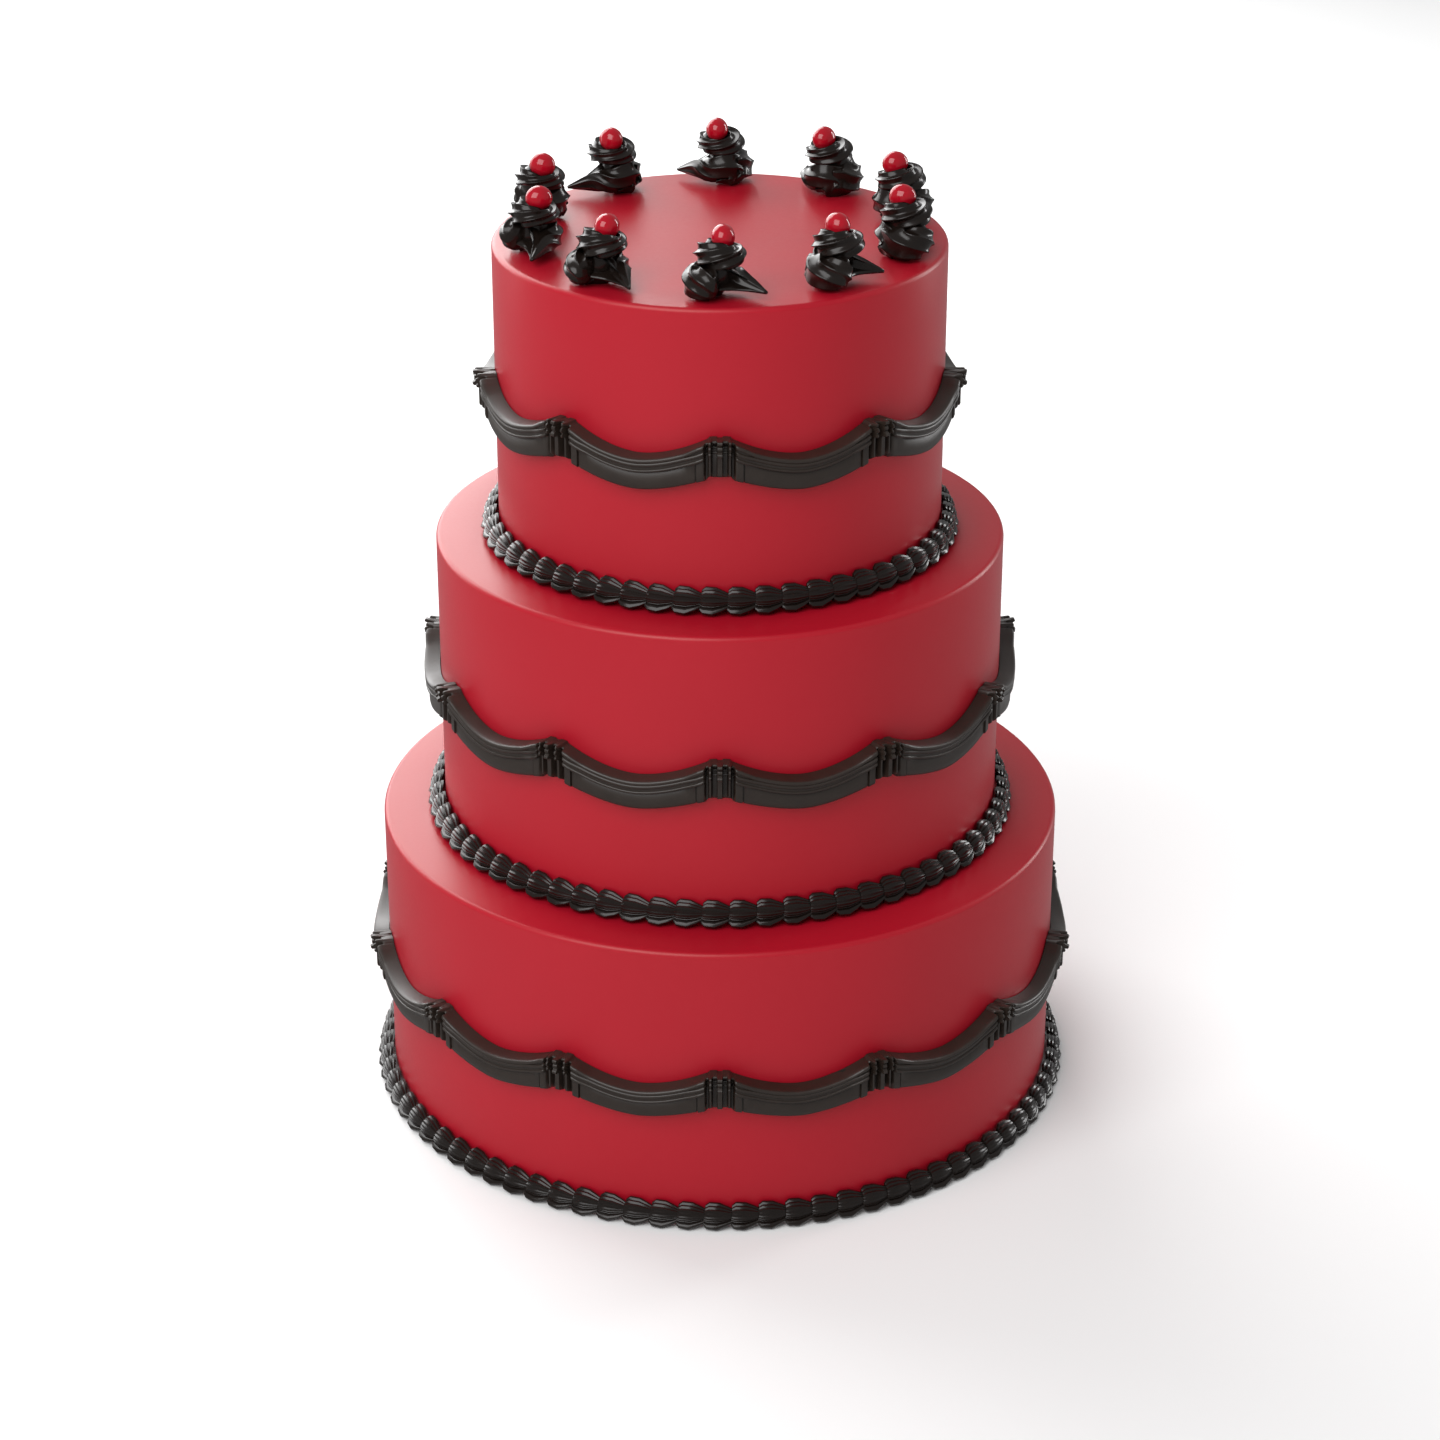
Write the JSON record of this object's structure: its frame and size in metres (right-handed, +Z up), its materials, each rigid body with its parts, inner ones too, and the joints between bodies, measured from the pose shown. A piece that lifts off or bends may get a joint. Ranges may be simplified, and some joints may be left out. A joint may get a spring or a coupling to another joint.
{
  "type": "tiered cake",
  "caption": "Three-tier round cake in red fondant with black scalloped swag mouldings, black shell borders and piped rosettes that hold glossy red balls.",
  "frame": {"origin": "centre of the bottom tier's underside, on the surface the cake stands on", "axes": "+Z up along the axis of the tiers, which is the longest extent; -Y towards the front, where a knot of each swag ring faces; +X to the right seen from the front"},
  "size_m": [0.295, 0.2986, 0.3902],
  "materials": {
    "red_fondant": "smooth satin sugar paste with a soft sheen",
    "black_icing": "smooth warm black icing with a satin gloss",
    "red_sugar_gloss": "hard polished sugar shell, high gloss"
  },
  "bodies": {
    "root": {"tier_bottom": "red_fondant", "shell_border_bottom": "black_icing", "swag_bottom_01": "black_icing", "swag_bottom_02": "black_icing", "swag_bottom_03": "black_icing", "swag_bottom_04": "black_icing", "swag_bottom_05": "black_icing", "swag_bottom_06": "black_icing", "swag_bottom_07": "black_icing", "swag_bottom_08": "black_icing", "swag_bottom_09": "black_icing", "swag_bottom_10": "black_icing", "swag_bottom_11": "black_icing", "swag_bottom_12": "black_icing", "swag_bottom_13": "black_icing", "swag_bottom_14": "black_icing", "tier_middle": "red_fondant", "shell_border_middle": "black_icing", "swag_middle_01": "black_icing", "swag_middle_02": "black_icing", "swag_middle_03": "black_icing", "swag_middle_04": "black_icing", "swag_middle_05": "black_icing", "swag_middle_06": "black_icing", "swag_middle_07": "black_icing", "swag_middle_08": "black_icing", "swag_middle_09": "black_icing", "swag_middle_10": "black_icing", "swag_middle_11": "black_icing", "tier_top": "red_fondant", "shell_border_top": "black_icing", "swag_top_01": "black_icing", "swag_top_02": "black_icing", "swag_top_03": "black_icing", "swag_top_04": "black_icing", "swag_top_05": "black_icing", "swag_top_06": "black_icing", "swag_top_07": "black_icing", "swag_top_08": "black_icing", "swag_top_09": "black_icing", "rosette_01": "black_icing", "rosette_02": "black_icing", "rosette_03": "black_icing", "rosette_04": "black_icing", "rosette_05": "black_icing", "rosette_06": "black_icing", "rosette_07": "black_icing", "rosette_08": "black_icing", "rosette_09": "black_icing", "rosette_10": "black_icing", "sugar_ball_01": "red_sugar_gloss", "sugar_ball_02": "red_sugar_gloss", "sugar_ball_03": "red_sugar_gloss", "sugar_ball_04": "red_sugar_gloss", "sugar_ball_05": "red_sugar_gloss", "sugar_ball_06": "red_sugar_gloss", "sugar_ball_07": "red_sugar_gloss", "sugar_ball_08": "red_sugar_gloss", "sugar_ball_09": "red_sugar_gloss", "sugar_ball_10": "red_sugar_gloss"}
  },
  "joints": []
}
